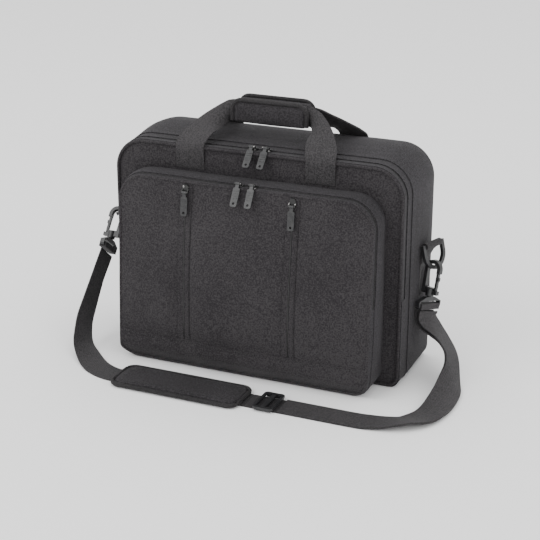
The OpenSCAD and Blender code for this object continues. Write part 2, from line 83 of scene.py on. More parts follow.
def setStudio(setup):
    deselectAll()
    bpy.ops.mesh.primitive_plane_add(size=setup["floor"], location=(0, 0, -0.0002))
    floor = bpy.context.object
    floor.name = "studioFloor"
    paper = bpy.data.materials.new("floorPaper")
    paper.use_nodes = True
    shader = paper.node_tree.nodes["Principled BSDF"]
    shader.inputs["Base Color"].default_value = setup["floorColour"]
    shader.inputs["Roughness"].default_value = 0.95
    floor.data.materials.append(paper)
    for light in setup["lights"]:
        bpy.ops.object.light_add(type="AREA", location=light["at"])
        lamp = bpy.context.object
        lamp.name = light["name"]
        lamp.data.shape = "SQUARE"
        lamp.data.size = light["size"]
        lamp.data.energy = light["power"]
        lamp.rotation_mode = "QUATERNION"
        lamp.rotation_quaternion = (Vector((0, 0, 0.15)) - Vector(light["at"])).to_track_quat("-Z", "Y")
    world = bpy.data.worlds.new("paleRoom")
    world.use_nodes = True
    world.node_tree.nodes["Background"].inputs["Color"].default_value = setup["world"]
    world.node_tree.nodes["Background"].inputs["Strength"].default_value = setup["worldPower"]
    bpy.context.scene.world = world


deselectAll()
setCamera(cameraSetup)
setStudio(studio)
print("camera and studio ready")

# finishes


def joinNodes(tree, kind, inputs, operation=None):
    node = tree.nodes.new(kind)
    if operation:
        node.operation = operation
    for slotName, value in inputs.items():
        if isinstance(value, bpy.types.NodeSocket):
            tree.links.new(value, node.inputs[slotName])
        else:
            node.inputs[slotName].default_value = value
    return node


def stripes(tree, coords, direction, perMetre):
    wave = joinNodes(tree, "ShaderNodeTexWave",
                     {"Vector": coords, "Scale": perMetre / 3.183, "Distortion": 0.0})
    wave.bands_direction = direction
    return wave.outputs["Fac"]


def toneRamp(tree, factor, darkColour, lightColour, low=0.3, high=0.7):
    ramp = joinNodes(tree, "ShaderNodeValToRGB", {"Fac": factor})
    ramp.color_ramp.elements[0].position, ramp.color_ramp.elements[1].position = low, high
    ramp.color_ramp.elements[0].color = (*darkColour, 1)
    ramp.color_ramp.elements[1].color = (*lightColour, 1)
    return ramp.outputs["Color"]


def wovenFinish(name, look):
    material = bpy.data.materials.new(name)
    material.use_nodes = True
    tree = material.node_tree
    shader = tree.nodes["Principled BSDF"]
    source = tree.nodes.new("ShaderNodeTexCoord")
    coords = source.outputs["UV" if look.get("alongStrap") else "Object"]
    place = source.outputs["Object"]
    warp = stripes(tree, coords, "X", look["threads"])
    weft = stripes(tree, coords, "Y", look["threads"] * look.get("weftShare", 1))
    crossing = joinNodes(tree, "ShaderNodeMath", {0: warp, 1: weft}, "MULTIPLY").outputs[0]
    if not look.get("alongStrap"):
        upward = stripes(tree, coords, "Z", look["threads"])
        second = joinNodes(tree, "ShaderNodeMath", {0: weft, 1: upward}, "MULTIPLY").outputs[0]
        third = joinNodes(tree, "ShaderNodeMath", {0: warp, 1: upward}, "MULTIPLY").outputs[0]
        crossing = joinNodes(tree, "ShaderNodeMath", {0: crossing, 1: second}, "ADD").outputs[0]
        crossing = joinNodes(tree, "ShaderNodeMath", {0: crossing, 1: third}, "ADD").outputs[0]
    slubs = joinNodes(tree, "ShaderNodeTexNoise",
                      {"Vector": place, "Scale": look["slub"], "Detail": 3.0}).outputs["Fac"]
    patches = joinNodes(tree, "ShaderNodeTexNoise",
                        {"Vector": place, "Scale": 9.0, "Detail": 4.0}).outputs["Fac"]
    patchy = joinNodes(tree, "ShaderNodeMath", {0: patches, 1: 0.22}, "MULTIPLY").outputs[0]
    mixed = joinNodes(tree, "ShaderNodeMath", {0: slubs, 1: 0.78, 2: patchy}, "MULTIPLY_ADD").outputs[0]
    colour = toneRamp(tree, mixed, look["dark"], look["light"], 0.41, 0.59)
    tree.links.new(colour, shader.inputs["Base Color"])
    relief = joinNodes(tree, "ShaderNodeMath", {0: crossing, 1: slubs}, "ADD").outputs[0]
    bump = joinNodes(tree, "ShaderNodeBump", {"Height": relief, "Distance": look["relief"], "Strength": 0.7})
    tree.links.new(bump.outputs["Normal"], shader.inputs["Normal"])
    shader.inputs["Roughness"].default_value = look["roughness"]
    shader.inputs["Sheen Weight"].default_value = look["sheen"]
    shader.inputs["Sheen Roughness"].default_value = 0.45
    shader.inputs["Specular IOR Level"].default_value = 0.25
    return material


def mouldedFinish(name, look):
    material = bpy.data.materials.new(name)
    material.use_nodes = True
    tree = material.node_tree
    shader = tree.nodes["Principled BSDF"]
    place = tree.nodes.new("ShaderNodeTexCoord").outputs["Object"]
    grain = joinNodes(tree, "ShaderNodeTexNoise",
                      {"Vector": place, "Scale": look["grain"], "Detail": 3.0}).outputs["Fac"]
    rubs = joinNodes(tree, "ShaderNodeTexNoise",
                     {"Vector": place, "Scale": 160.0, "Detail": 5.0}).outputs["Fac"]
    colour = toneRamp(tree, rubs, look["dark"], look["light"], look.get("wornFrom", 0.45),
                      look.get("wornTo", 0.75))
    tree.links.new(colour, shader.inputs["Base Color"])
    gloss = joinNodes(tree, "ShaderNodeMapRange", {"Value": grain, "To Min": look["roughness"] - 0.08,
                                                   "To Max": look["roughness"] + 0.12}).outputs["Result"]
    tree.links.new(gloss, shader.inputs["Roughness"])
    bump = joinNodes(tree, "ShaderNodeBump", {"Height": grain, "Distance": look["relief"], "Strength": 0.4})
    tree.links.new(bump.outputs["Normal"], shader.inputs["Normal"])
    shader.inputs["Metallic"].default_value = look.get("metal", 0.0)
    return material


clothLook = {"dark": (0.014, 0.012, 0.014), "light": (0.037, 0.034, 0.036), "threads": 620, "slub": 520.0,
             "relief": 0.00022, "roughness": 0.9, "sheen": 0.03}
finishes = {
    "panel_fabric": wovenFinish("bagCloth", clothLook),
    "gusset_fabric": wovenFinish("sideCloth", {**clothLook, "dark": (0.013, 0.012, 0.013),
                                               "light": (0.035, 0.032, 0.036)}),
    "lining": wovenFinish("liningCloth",
                          {**clothLook, "dark": (0.024, 0.024, 0.026), "light": (0.059, 0.059, 0.063),
                                          "threads": 1400, "slub": 900.0, "relief": 0.0001}),
    "zip_tape": wovenFinish("zipTape",
                            {**clothLook, "dark": (0.007, 0.007, 0.007), "light": (0.020, 0.018, 0.020),
                                        "threads": 1100, "slub": 700.0, "relief": 0.0002}),
    "webbing": wovenFinish("flatWebbing",
                           {**clothLook, "dark": (0.016, 0.015, 0.016), "light": (0.040, 0.037, 0.039),
                                           "threads": 520, "weftShare": 0.6, "relief": 0.0004,
                            "alongStrap": True,
                                           "sheen": 0.06, "roughness": 0.75}),
    "grip_fabric": wovenFinish("gripCloth",
                               {**clothLook, "dark": (0.012, 0.011, 0.012), "light": (0.032, 0.029, 0.032)}),
    "pad_fabric": wovenFinish("padCloth",
                              {**clothLook, "dark": (0.012, 0.011, 0.012), "light": (0.033, 0.030, 0.033)}),
    "binding": wovenFinish("bindingTape",
                           {**clothLook, "dark": (0.009, 0.008, 0.009), "light": (0.025, 0.023, 0.024),
                                           "threads": 900, "roughness": 0.7}),
    "thread": mouldedFinish("sewingThread", {"dark": (0.008, 0.008, 0.008), "light": (0.030, 0.028, 0.030),
                                             "grain": 1500.0, "roughness": 0.55, "relief": 0.0001}),
    "coil": mouldedFinish("zipCoil", {"dark": (0.004, 0.004, 0.004), "light": (0.017, 0.016, 0.017),
                                      "grain": 900.0, "roughness": 0.38, "relief": 0.0002}),
    "foam_board": mouldedFinish("foamBoard",
                                {"dark": (0.2, 0.2, 0.2), "light": (0.3, 0.3, 0.3), "grain": 400.0,
                                              "roughness": 0.8, "relief": 0.0003}),
    "base_board": mouldedFinish("stiffBoard",
                                {"dark": (0.05, 0.05, 0.05), "light": (0.08, 0.08, 0.08), "grain": 300.0,
                                               "roughness": 0.55, "relief": 0.0002}),
    "slider_metal": mouldedFinish("sliderLacquer", {"dark": (0.03, 0.03, 0.03), "light": (0.42, 0.41, 0.40),
                                                    "grain": 500.0, "roughness": 0.32, "relief": 0.0001,
                                                    "wornFrom": 0.56, "wornTo": 0.70, "metal": 0.7}),
    "zip_pull": mouldedFinish("pullPlastic",
                              {"dark": (0.015, 0.015, 0.016), "light": (0.035, 0.035, 0.035), "grain": 700.0,
                                              "roughness": 0.40, "relief": 0.0002}),
    "hardware_plastic": mouldedFinish("buckleAcetal",
                                      {"dark": (0.014, 0.014, 0.015), "light": (0.028, 0.028, 0.029),
                                                       "grain": 600.0, "roughness": 0.36, "relief": 0.0002}),
}
print("finishes ready")

# shapes shared by the sewn pieces

bag = {"width": 0.430, "gussetWidth": 0.434, "low": 0.0, "top": 0.317, "upperR": 0.044, "lowerR": 0.016,
       "front": -0.040, "back": 0.090, "fold": 0.130, "zip": -0.031, "strip": -0.026, "seam": -0.008}
pocket = {"width": 0.380, "low": 0.003, "top": 0.277, "upperR": 0.038, "lowerR": 0.022, "face": -0.090,
          "lean": 0.0594, "leanHeight": 0.150, "band": 0.046, "bulge": 0.017, "slits": (-0.084, 0.076),
          "foldLow": 0.085, "foldHigh": 0.130, "openLow": 0.1325, "openHigh": 0.152}
soft = {"ripple": 0.0007, "fineRipple": 0.00025, "sideBulge": 0.0040, "topBulge": 0.0048, "back": 0.088,
        "pocketBulge": 0.0035, "footTuck": 0.010, "faceTuck": 0.012}
crease = {"height": 0.0011, "spacing": 190, "slant": 26, "from": 0.26, "middle": 0.03, "spread": 0.07}


def ripple(x, y, z):
    p = Vector((x, y, z))
    return soft["ripple"] * noise.noise(p * 17) + soft["fineRipple"] * noise.noise(p * 55)


def smoothStep(value, low, high):
    t = min(1.0, max(0.0, (value - low) / (high - low)))
    return t * t * (3 - 2 * t)


def rimPath(width, low, top, upperR, lowerR, part, cut):
    half = width / 2
    lines = {"upper": [("line", (half, cut), (half, top - upperR)),
                       ("arc", (half - upperR, top - upperR), upperR, 0, 90),
                       ("line", (half - upperR, top), (upperR - half, top)),
                       ("arc", (upperR - half, top - upperR), upperR, 90, 180),
                       ("line", (-half, top - upperR), (-half, cut))],
             "lower": [("line", (-half, cut), (-half, low + lowerR)),
                       ("arc", (lowerR - half, low + lowerR), lowerR, 180, 270),
                       ("line", (lowerR - half, low), (half - lowerR, low)),
                       ("arc", (half - lowerR, low + lowerR), lowerR, 270, 360),
                       ("line", (half, low + lowerR), (half, cut))]}
    legs = lines["upper"] + lines["lower"] if part == "all" else lines[part]
    points = []
    for leg in legs:
        if leg[0] == "line":
            a, b = Vector(leg[1]), Vector(leg[2])
            steps = max(1, round((b - a).length / 0.003))
            side = Vector(((b - a).y, -(b - a).x)).normalized()
            points += [(a.lerp(b, k / steps), side) for k in range(steps + 1)]
        else:
            steps = max(6, round(math.radians(leg[4] - leg[3]) * leg[2] / 0.002))
            for k in range(steps + 1):
                turn = math.radians(leg[3] + (leg[4] - leg[3]) * k / steps)
                out = Vector((math.cos(turn), math.sin(turn)))
                points.append((Vector(leg[1]) + out * leg[2], out))
    run = [0.0]
    for k in range(1, len(points)):
        run.append(run[-1] + (points[k][0] - points[k - 1][0]).length)
    return {"points": points, "run": run, "length": run[-1], "closed": part == "all"}


def alongRim(path, share):
    want = share * path["length"]
    low, high = 0, len(path["run"]) - 1
    while high - low > 1:
        middle = (low + high) // 2
        if path["run"][middle] <= want:
            low = middle
        else:
            high = middle
    span = path["run"][high] - path["run"][low]
    t = (want - path["run"][low]) / span if span > 1e-9 else 0
    (p, n), (q, m) = path["points"][low], path["points"][high]
    return p.lerp(q, t), n.lerp(m, t).normalized()


def bagRim(part):
    return rimPath(bag["gussetWidth"], bag["low"], bag["top"], bag["upperR"], bag["lowerR"], part,
                   bag["fold"])


def pocketRim(part):
    return rimPath(pocket["width"], pocket["low"], pocket["top"], pocket["upperR"], pocket["lowerR"], part,
                   pocket["foldHigh"] + 0.001)


def halfWidthAt(z, width, low, top, upperR, lowerR):
    if z > top - upperR:
        return width / 2 - upperR + math.sqrt(max(0, upperR ** 2 - (z - top + upperR) ** 2))
    if z < low + lowerR:
        return width / 2 - lowerR + math.sqrt(max(0, lowerR ** 2 - (low + lowerR - z) ** 2))
    return width / 2


def faceDepth(z):
    return pocket["face"] + pocket["lean"] * (z - pocket["leanHeight"])


# how far the gusset stands out from its rim at a depth y
def gussetSwell(y, p, n):
    t = min(1.0, max(0.0, (y - bag["seam"]) / (soft["back"] - bag["seam"])))
    wave = math.sin(math.pi * t ** 1.3) ** 0.8 if 0 < t < 1 else 0
    amount = soft["topBulge"] if n.y > 0.7 else soft["sideBulge"]
    fade = smoothStep(p.y, 0.012, 0.070)
    return amount * wave * fade + ripple(p.x, y, p.y) * (0.3 + wave) * fade


def gussetPoint(path, share, y, lift=0.0):
    p, n = alongRim(path, share)
    out = gussetSwell(y, p, n) + lift
    return Vector((p.x + n.x * out, y, max(p.y + n.y * out, 0.0003)))


def pocketGussetPoint(path, share, depth, lift=0.0):
    p, n = alongRim(path, share)
    front = faceDepth(p.y)
    y = front + depth * (bag["front"] - front)
    wave = math.sin(math.pi * min(1, max(0, depth)))
    out = soft["pocketBulge"] * wave * smoothStep(p.y, 0.01, 0.08)
    out += ripple(p.x, y, p.y) * (0.4 + wave) * smoothStep(p.y, 0, 0.05) + lift
    tuck = soft["footTuck"] * smoothStep(-n.y, 0.2, 1.0) * (1 - depth)
    return Vector((p.x + n.x * out, y + tuck, max(p.y + n.y * out, 0.0003)))


def faceSwell(x, z):
    half = halfWidthAt(z, pocket["width"], pocket["low"], pocket["top"], pocket["upperR"], pocket["lowerR"])
    rise = math.sin(math.pi * min(1, max(0, (z - pocket["low"]) / (pocket["top"] - pocket["low"]))) ** 0.82)
    side = max(0.0, 1 - (abs(x) / half) ** 2.6)
    valley = 1.0
    for slit in pocket["slits"]:
        valley -= 0.50 * math.exp(-((x - slit) / 0.016) ** 2)
    seamDip = 1 - 0.25 * math.exp(-((z - pocket["band"]) / 0.010) ** 2)
    return pocket["bulge"] * rise * side * valley * seamDip


def facePoint(x, z, lift=0.0):
    tuck = soft["faceTuck"] * (1 - smoothStep(z, pocket["low"], 0.026))
    fade = smoothStep(z, 0.225, 0.262) * (1 - smoothStep(z, 0.266, pocket["top"]))
    waves = math.sin(x * crease["spacing"] + crease["slant"] * (crease["from"] - z))
    near = math.exp(-((abs(x) - crease["middle"]) / crease["spread"]) ** 2)
    out = faceSwell(x, z) + lift + ripple(x, 0.3, z) * 1.6 + crease["height"] * waves * fade * near
    return Vector((x, faceDepth(z) - out + tuck, max(z, 0.0006)))


# how sewn pieces are made


def applyModifier(piece, kind, **settings):
    deselectAll()
    piece.select_set(True)
    bpy.context.view_layer.objects.active = piece
    modifier = piece.modifiers.new(kind.lower(), kind)
    for key, value in settings.items():
        setattr(modifier, key, value)
    bpy.ops.object.modifier_apply(modifier=modifier.name)


def smooth(piece, angle=40):
    deselectAll()
    piece.select_set(True)
    bpy.context.view_layer.objects.active = piece
    bpy.ops.object.shade_smooth_by_angle(angle=math.radians(angle))


def finishPiece(piece, name, finish, body=None, bend=None, replaced=()):
    piece.name = piece.data.name = name
    piece.data.materials.clear()
    piece.data.materials.append(finishes[finish])
    if bend:
        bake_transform(piece)
    else:
        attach(piece, body)
    if replaced:
        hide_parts(*replaced)
    return piece


# a grid laid on a surface; place(u, v) gives the point, size is (length, width) in metres for the weave
def laySheet(cols, rows, place, thickness, size=(1, 1), offset=-1.0, closed=False, flip=False):
    deselectAll()
    bpy.ops.mesh.primitive_grid_add(x_subdivisions=cols, y_subdivisions=rows, size=2)
    sheet = bpy.context.object
    shares = [((v.co.x + 1) / 2, (v.co.y + 1) / 2) for v in sheet.data.vertices]
    uvs = sheet.data.uv_layers.active.data
    for loop in sheet.data.loops:
        u, v = shares[loop.vertex_index]
        uvs[loop.index].uv = (u * size[0], v * size[1])
    for vertex, (u, v) in zip(sheet.data.vertices, shares):
        vertex.co = place(u, v)
    bpy.ops.object.mode_set(mode="EDIT")
    bpy.ops.mesh.select_all(action="SELECT")
    if closed:
        bpy.ops.mesh.remove_doubles(threshold=0.00005)
    if flip:
        bpy.ops.mesh.flip_normals()
    bpy.ops.object.mode_set(mode="OBJECT")
    if thickness:
        applyModifier(sheet, "SOLIDIFY", thickness=thickness, offset=offset, use_even_offset=False)
    smooth(sheet)
    return sheet


# a round welt, cord or bound edge along points in space
def layTube(points, radius, closed=False, sides=8):
    count = len(points)
    steps = count if closed else count - 1
    frames = []
    for k, p in enumerate(points):
        ahead = points[(k + 1) % count] if closed or k < count - 1 else p
        behind = points[k - 1] if closed or k > 0 else p
        run = (Vector(ahead) - Vector(behind)).normalized()
        side = run.cross(Vector((0, 1, 0)))
        side = side.normalized() if side.length > 0.2 else run.cross(Vector((0, 0, 1))).normalized()
        frames.append((Vector(p), side, side.cross(run).normalized()))

    def place(u, v):
        centre, side, rise = frames[round(u * steps) % count if closed else min(count - 1, round(u * steps))]
        turn = 2 * math.pi * v
        return centre + side * math.cos(turn) * radius + rise * math.sin(turn) * radius

    tube = laySheet(steps, sides, place, 0, (1, 1), closed=True)
    if not closed:
        bpy.ops.object.mode_set(mode="EDIT")
        bpy.ops.mesh.select_all(action="DESELECT")
        bpy.ops.mesh.select_mode(type="EDGE")
        bpy.ops.mesh.select_non_manifold()
        bpy.ops.mesh.edge_face_add()
        bpy.ops.object.mode_set(mode="OBJECT")
    bpy.ops.object.mode_set(mode="EDIT")
    bpy.ops.mesh.select_all(action="SELECT")
    bpy.ops.mesh.normals_make_consistent(inside=False)
    bpy.ops.object.mode_set(mode="OBJECT")
    smooth(tube, 50)
    return tube


stitch = {"length": 0.0026, "pitch": 0.0036, "thread": 0.00042}


def sewRow(name, points, body=None, bend=None):
    curve = bpy.data.curves.new(name + "Guide", "CURVE")
    curve.dimensions = "3D"
    line = curve.splines.new("POLY")
    line.points.add(len(points) - 1)
    for knot, p in zip(line.points, points):
        knot.co = (*p, 1)
    guide = bpy.data.objects.new(name + "Guide", curve)
    bpy.context.scene.collection.objects.link(guide)
    deselectAll()
    bpy.ops.mesh.primitive_ico_sphere_add(subdivisions=1, radius=1)
    row = bpy.context.object
    row.data.transform(Matrix.Diagonal((stitch["length"] / 2, stitch["thread"], stitch["thread"], 1)))
    applyModifier(row, "ARRAY", fit_type="FIT_CURVE", curve=guide, use_relative_offset=False,
                  use_constant_offset=True, constant_offset_displace=(stitch["pitch"], 0, 0))
    applyModifier(row, "CURVE", object=guide, deform_axis="POS_X")
    bpy.data.objects.remove(guide)
    smooth(row, 80)
    return finishPiece(row, name, "thread", body=body, bend=bend)


# pressure blows a remeshed shape up a little, as stuffing does
def fillPad(pad, voxel, cap, pressure=4.0):
    applyModifier(pad, "REMESH", mode="VOXEL", voxel_size=voxel)
    before = [v.co.copy() for v in pad.data.vertices]
    cloth = pad.modifiers.new("stuffing", "CLOTH")
    cloth.settings.use_pressure = True
    cloth.settings.uniform_pressure_force = pressure
    cloth.settings.effector_weights.gravity = 0
    cloth.settings.tension_stiffness = cloth.settings.compression_stiffness = 25
    bpy.context.scene.frame_start, bpy.context.scene.frame_end = 1, 20
    for step in range(1, 21):
        bpy.context.scene.frame_set(step)
    deselectAll()
    pad.select_set(True)
    bpy.context.view_layer.objects.active = pad
    bpy.ops.object.modifier_apply(modifier=cloth.name)
    bpy.context.scene.frame_set(1)
    for vertex, start in zip(pad.data.vertices, before):
        move = vertex.co - start
        if move.length > cap:
            vertex.co = start + move * (cap / move.length)
    applyModifier(pad, "SMOOTH", factor=0.5, iterations=3)
    applyModifier(pad, "SUBSURF", levels=1, render_levels=1)
    smooth(pad, 60)
    return pad


# main body

bodyCloth = {"cell": 0.005, "gussetRows": 20, "stripRows": 5, "panelCols": 90, "panelRows": 64}
panel = {"low": 0.002, "top": 0.313, "upperR": 0.042, "lowerR": 0.016, "trim": 0.0004, "crown": 0.003,
         "crownSide": 0.15, "crownEnd": 0.03, "thickness": 0.0034, "back": 0.0870, "front": -0.0385}
frontFold = ("bag", "main_flap", 0.118, 0.142)  # a band of heights between bag and main flap; pieces given it as bend are only baked in place, not bent
rimUpper, rimLower, rimAll = bagRim("upper"), bagRim("lower"), bagRim("all")


def gussetSheet(name, path, y0, y1, lift, thickness, finish, replaced, body="bag", rows=5):
    cols = round(path["length"] / bodyCloth["cell"])
    sheet = laySheet(cols, rows, lambda u, v: gussetPoint(path, u, y0 + (y1 - y0) * v, lift), thickness,
                     (path["length"], y1 - y0), closed=path["closed"])
    return finishPiece(sheet, name, finish, body=body, replaced=replaced)


gussetSheet("sideGusset", rimAll, bag["seam"] - 0.001, 0.088, 0.0008, 0.0022, "gusset_fabric",
            ("upper_gusset", "lower_gusset"), rows=bodyCloth["gussetRows"])
gussetSheet("zipStrip", rimUpper, bag["strip"], bag["seam"] + 0.002, 0.0, 0.0016, "gusset_fabric",
            ("zip_gusset",))
gussetSheet("lowerFrontGusset", rimLower, bag["front"] + 0.001, bag["seam"] + 0.002, 0.0, 0.0016,
            "gusset_fabric", (), rows=8)
gussetSheet("mainZipTapeRear", rimUpper, bag["zip"] + 0.0006, bag["strip"] + 0.001, -0.0010, 0.0012,
            "zip_tape",
            ("main_zip_rear",), rows=3)
gussetSheet("mainZipTapeFront", rimUpper, bag["front"] + 0.001, bag["zip"] - 0.0006, -0.0006, 0.0014,
            "gusset_fabric",
            ("main_zip_front",), body="main_flap", rows=4)


def rimLine(path, y, lift, step=0.004):
    count = round(path["length"] / step)
    return [gussetPoint(path, k / count, y, lift) for k in range(count + (0 if path["closed"] else 1))]


def coilAlong(name, points, body=None, bend=None, radius=0.0011):
    coil = layTube(points, radius, sides=6)
    return finishPiece(coil, name, "coil", body=body, bend=bend)


coilAlong("mainZipCoilRear", rimLine(rimUpper, bag["zip"] + 0.0011, -0.0004), body="bag")
coilAlong("mainZipCoilFront", rimLine(rimUpper, bag["zip"] - 0.0011, -0.0004), body="main_flap")


def flatPanel(name, y, outward, replaced, body=None, bend=None):
    z0, z1, trim = panel["low"], panel["top"], panel["trim"]

    def place(u, v):
        z = z0 + (z1 - z0) * v
        inner = max(min(z, z1 - trim), z0 + trim)
        half = halfWidthAt(inner, bag["width"], z0, z1, panel["upperR"], panel["lowerR"])
        x = (2 * u - 1) * (half - trim)
        edge = min(1.0, (1 - abs(x) / (bag["width"] / 2)) / panel["crownSide"], (z1 - z) / panel["crownEnd"],
                   (z - z0) / panel["crownEnd"])
        crown = panel["crown"] * smoothStep(edge, 0, 1)
        return Vector((x, y + outward * (crown + ripple(x, y * 3, z) * 1.2), z))

    sheet = laySheet(bodyCloth["panelCols"], bodyCloth["panelRows"], place, panel["thickness"],
                     (bag["width"], z1 - z0), flip=outward > 0)
    return finishPiece(sheet, name, "panel_fabric", body=body, bend=bend, replaced=replaced)


flatPanel("backPanel", panel["back"], 1, ("back_panel",), body="bag")
flatPanel("frontPanel", panel["front"], -1, ("upper_front_panel", "lower_front_panel"), bend=frontFold)

welt = {"low": 0.0025, "top": 0.3145, "grow": 0.0005, "radius": 0.0022, "step": 0.005, "back": 0.0885,
        "front": -0.0400}


def weltLine(y):
    grow = welt["grow"]
    rim = rimPath(bag["width"] + 2 * grow, welt["low"], welt["top"] + grow, panel["upperR"] + grow,
                  panel["lowerR"],
                  "all", bag["fold"])
    count = round(rim["length"] / welt["step"])
    return [Vector((p.x, y, max(p.y, 0.0026))) for p, n in (alongRim(rim, k / count) for k in range(count))]


finishPiece(layTube(weltLine(welt["back"]), welt["radius"], closed=True), "backWelt", "binding",
            body="bag")
finishPiece(layTube(weltLine(welt["front"]), welt["radius"], closed=True), "frontWelt", "panel_fabric",
            bend=frontFold)
sewRow("stitchZipStripFront", rimLine(rimUpper, bag["strip"] + 0.0022, 0.0004), body="bag")
sewRow("stitchZipStripMiddle", rimLine(rimUpper, -0.0175, 0.0004), body="bag")
sewRow("stitchTopSeam", rimLine(rimUpper, bag["seam"] + 0.0016, 0.0012), body="bag")
sewRow("stitchFrontTape", rimLine(rimUpper, bag["front"] + 0.0046, 0.0000), body="main_flap")
sewRow("stitchLowerSeam", rimLine(rimLower, bag["seam"] + 0.0016, 0.0012), body="bag")
sewRow("stitchBackSeam", rimLine(rimAll, 0.0835, 0.0012), body="bag")
# painted shadow: thin dark cords in the binding finish lie along these seams to stand in for the shade under
# the folded seam edges
seamShadowCord = {"radius": 0.0012, "sunk": 0.0002, "raised": 0.0006}
for name, path, y in (("shadowCordZipStrip", rimUpper, -0.0215), ("shadowCordTopSeam", rimUpper, bag["seam"] - 0.0010),
                      ("shadowCordLowerSeam", rimLower, bag["seam"] - 0.0010)):
    lift = seamShadowCord["sunk"] + (seamShadowCord["raised"] if y > -0.010
                               else 0)  # the two seams behind the zip strip stand higher
    finishPiece(layTube(rimLine(path, y, lift), seamShadowCord["radius"]), name, "binding",
                body="bag")
print("main body sewn")

# front pocket

pocketAll, pocketUpper, pocketLower = pocketRim("all"), pocketRim("upper"), pocketRim("lower")
mainFold = ("bag", "main_flap", pocket["foldLow"], pocket["foldHigh"])
openFold = ("main_flap", "pocket_flap", pocket["openLow"], pocket["openHigh"])
pocketLook = {"cols": 88, "upperRows": 40, "lowerRows": 24, "bandRows": 12}


def faceSheet(name, z0, z1, rows, finish, replaced, body=None, bend=None, lift=0.0):
    def place(u, v):
        z = z0 + (z1 - z0) * v
        inner = min(max(z, pocket["low"] + 0.0006), pocket["top"] - 0.0006)
        half = halfWidthAt(inner, pocket["width"], pocket["low"], pocket["top"], pocket["upperR"],
                           pocket["lowerR"]) - 0.001
        return facePoint((2 * u - 1) * half, z, lift)

    sheet = laySheet(pocketLook["cols"], rows, place, 0.0026, (0.38, z1 - z0))
    return finishPiece(sheet, name, finish, body=body, bend=bend, replaced=replaced)


faceSheet("pocketFaceUpper", 0.1315, 0.2755, pocketLook["upperRows"], "panel_fabric",
          ("pocket_face_panels",), bend=openFold)
faceSheet("pocketFaceLower", 0.0445, 0.1315, pocketLook["lowerRows"], "panel_fabric", ("pocket_lower_face",),
          bend=mainFold)
faceSheet("pocketBottomBand", 0.0040, 0.0470, pocketLook["bandRows"], "panel_fabric", ("bottom_band",),
          body="bag", lift=0.0012)


def pocketSheet(name, path, d0, d1, lift, thickness, rows, finish, replaced, body=None, bend=None):
    cols = round(path["length"] / bodyCloth["cell"])
    sheet = laySheet(cols, rows, lambda u, v: pocketGussetPoint(path, u, d0 + (d1 - d0) * v, lift), thickness,
                     (path["length"], 0.05 * (d1 - d0)), closed=path["closed"])
    return finishPiece(sheet, name, finish, body=body, bend=bend, replaced=replaced)


pocketSheet("pocketGusset", pocketAll, 0.19, 1.0, 0.0006, 0.0016, 12, "gusset_fabric",
            ("pocket_gusset", "pocket_base_gusset"), bend=mainFold)
pocketSheet("pocketZipTapeRear", pocketUpper, 0.115, 0.21, -0.0006, 0.0012, 3, "zip_tape",
            ("pocket_zip_rear",), body="main_flap")
pocketSheet("pocketZipTapeFront", pocketUpper, 0.015, 0.085, 0.0, 0.0014, 3, "gusset_fabric",
            ("pocket_zip_front",), bend=openFold)
pocketSheet("pocketLowerEdge", pocketLower, 0.015, 0.20, 0.0, 0.0014, 4, "gusset_fabric",
            (), bend=mainFold)


def pocketLine(path, depth, lift, step=0.004):
    count = round(path["length"] / step)
    return [pocketGussetPoint(path, k / count, depth,
                              lift) for k in range(count + (0 if path["closed"] else 1))]


coilAlong("pocketZipCoilRear", pocketLine(pocketUpper, 0.112, -0.0003), body="main_flap", radius=0.0010)
coilAlong("pocketZipCoilFront", pocketLine(pocketUpper, 0.088, -0.0003), bend=openFold, radius=0.0010)
finishPiece(layTube(pocketLine(pocketUpper, 0.012, -0.0008), 0.0021), "pocketWeltUpper", "panel_fabric",
            bend=openFold)
finishPiece(layTube(pocketLine(pocketLower, 0.012, -0.0008), 0.0021), "pocketWeltLower", "panel_fabric",
            bend=mainFold)
sewRow("stitchPocketTape", pocketLine(pocketAll, 0.215, 0.0011), bend=mainFold)
sewRow("stitchPocketGusset", pocketLine(pocketAll, 0.46, 0.0009), bend=mainFold)
# painted shadow: dark cords in the binding finish along the pocket seams stand in for the shade under the
# folded seam edges
for name, depth in (("shadowCordPocketFront", 0.17), ("shadowCordPocketMiddle", 0.43)):
    finishPiece(layTube(pocketLine(pocketAll, depth, seamShadowCord["sunk"]), seamShadowCord["radius"]), name, "binding",
                bend=mainFold)


def faceLine(x, z0, z1, lift, step=0.004):
    count = round(abs(z1 - z0) / step)
    return [facePoint(x, z0 + (z1 - z0) * k / count, lift) for k in range(count + 1)]


def faceRow(z, half, lift, step=0.004):
    count = round(2 * half / step)
    return [facePoint(-half + 2 * half * k / count, z, lift) for k in range(count + 1)]


slitLook = {"coverLeft": (-0.0085, -0.0011), "coverRight": (0.0011, 0.0095), "raise": 0.0013, "coil": 0.0011}
for side, x in zip(("Left", "Right"), pocket["slits"]):
    for part, z0, z1, bend in (("Upper", 0.1315, 0.2745, openFold), ("Lower", 0.0475, 0.1315, mainFold)):
        for edge in ("coverLeft", "coverRight"):
            a, b = slitLook[edge]
            sheet = laySheet(4, round((z1 - z0) / 0.004), lambda u,
                             v: facePoint(x + a + (b - a) * u, z0 + (z1 - z0) * v,
                                                                               slitLook["raise"]), 0.0011)
            finishPiece(sheet, "slit" + side + part + edge[5:] + "Cover", "panel_fabric",
                        bend=bend)
        coil = layTube(faceLine(x, z0, z1, 0.0007), slitLook["coil"], sides=6)
        finishPiece(coil, "slitCoil" + side + part, "coil", bend=bend,
                    replaced=("slit_zip_" + side.lower(),) if part == "Upper" else ())
        sewRow("stitchSlit" + side + part, faceLine(x + 0.0080, z0, z1, slitLook["raise"] + 0.0004),
               bend=bend)
sewRow("stitchBand", faceRow(0.0440, 0.182, 0.0016), body="bag")
print("pocket sewn")

# webbing


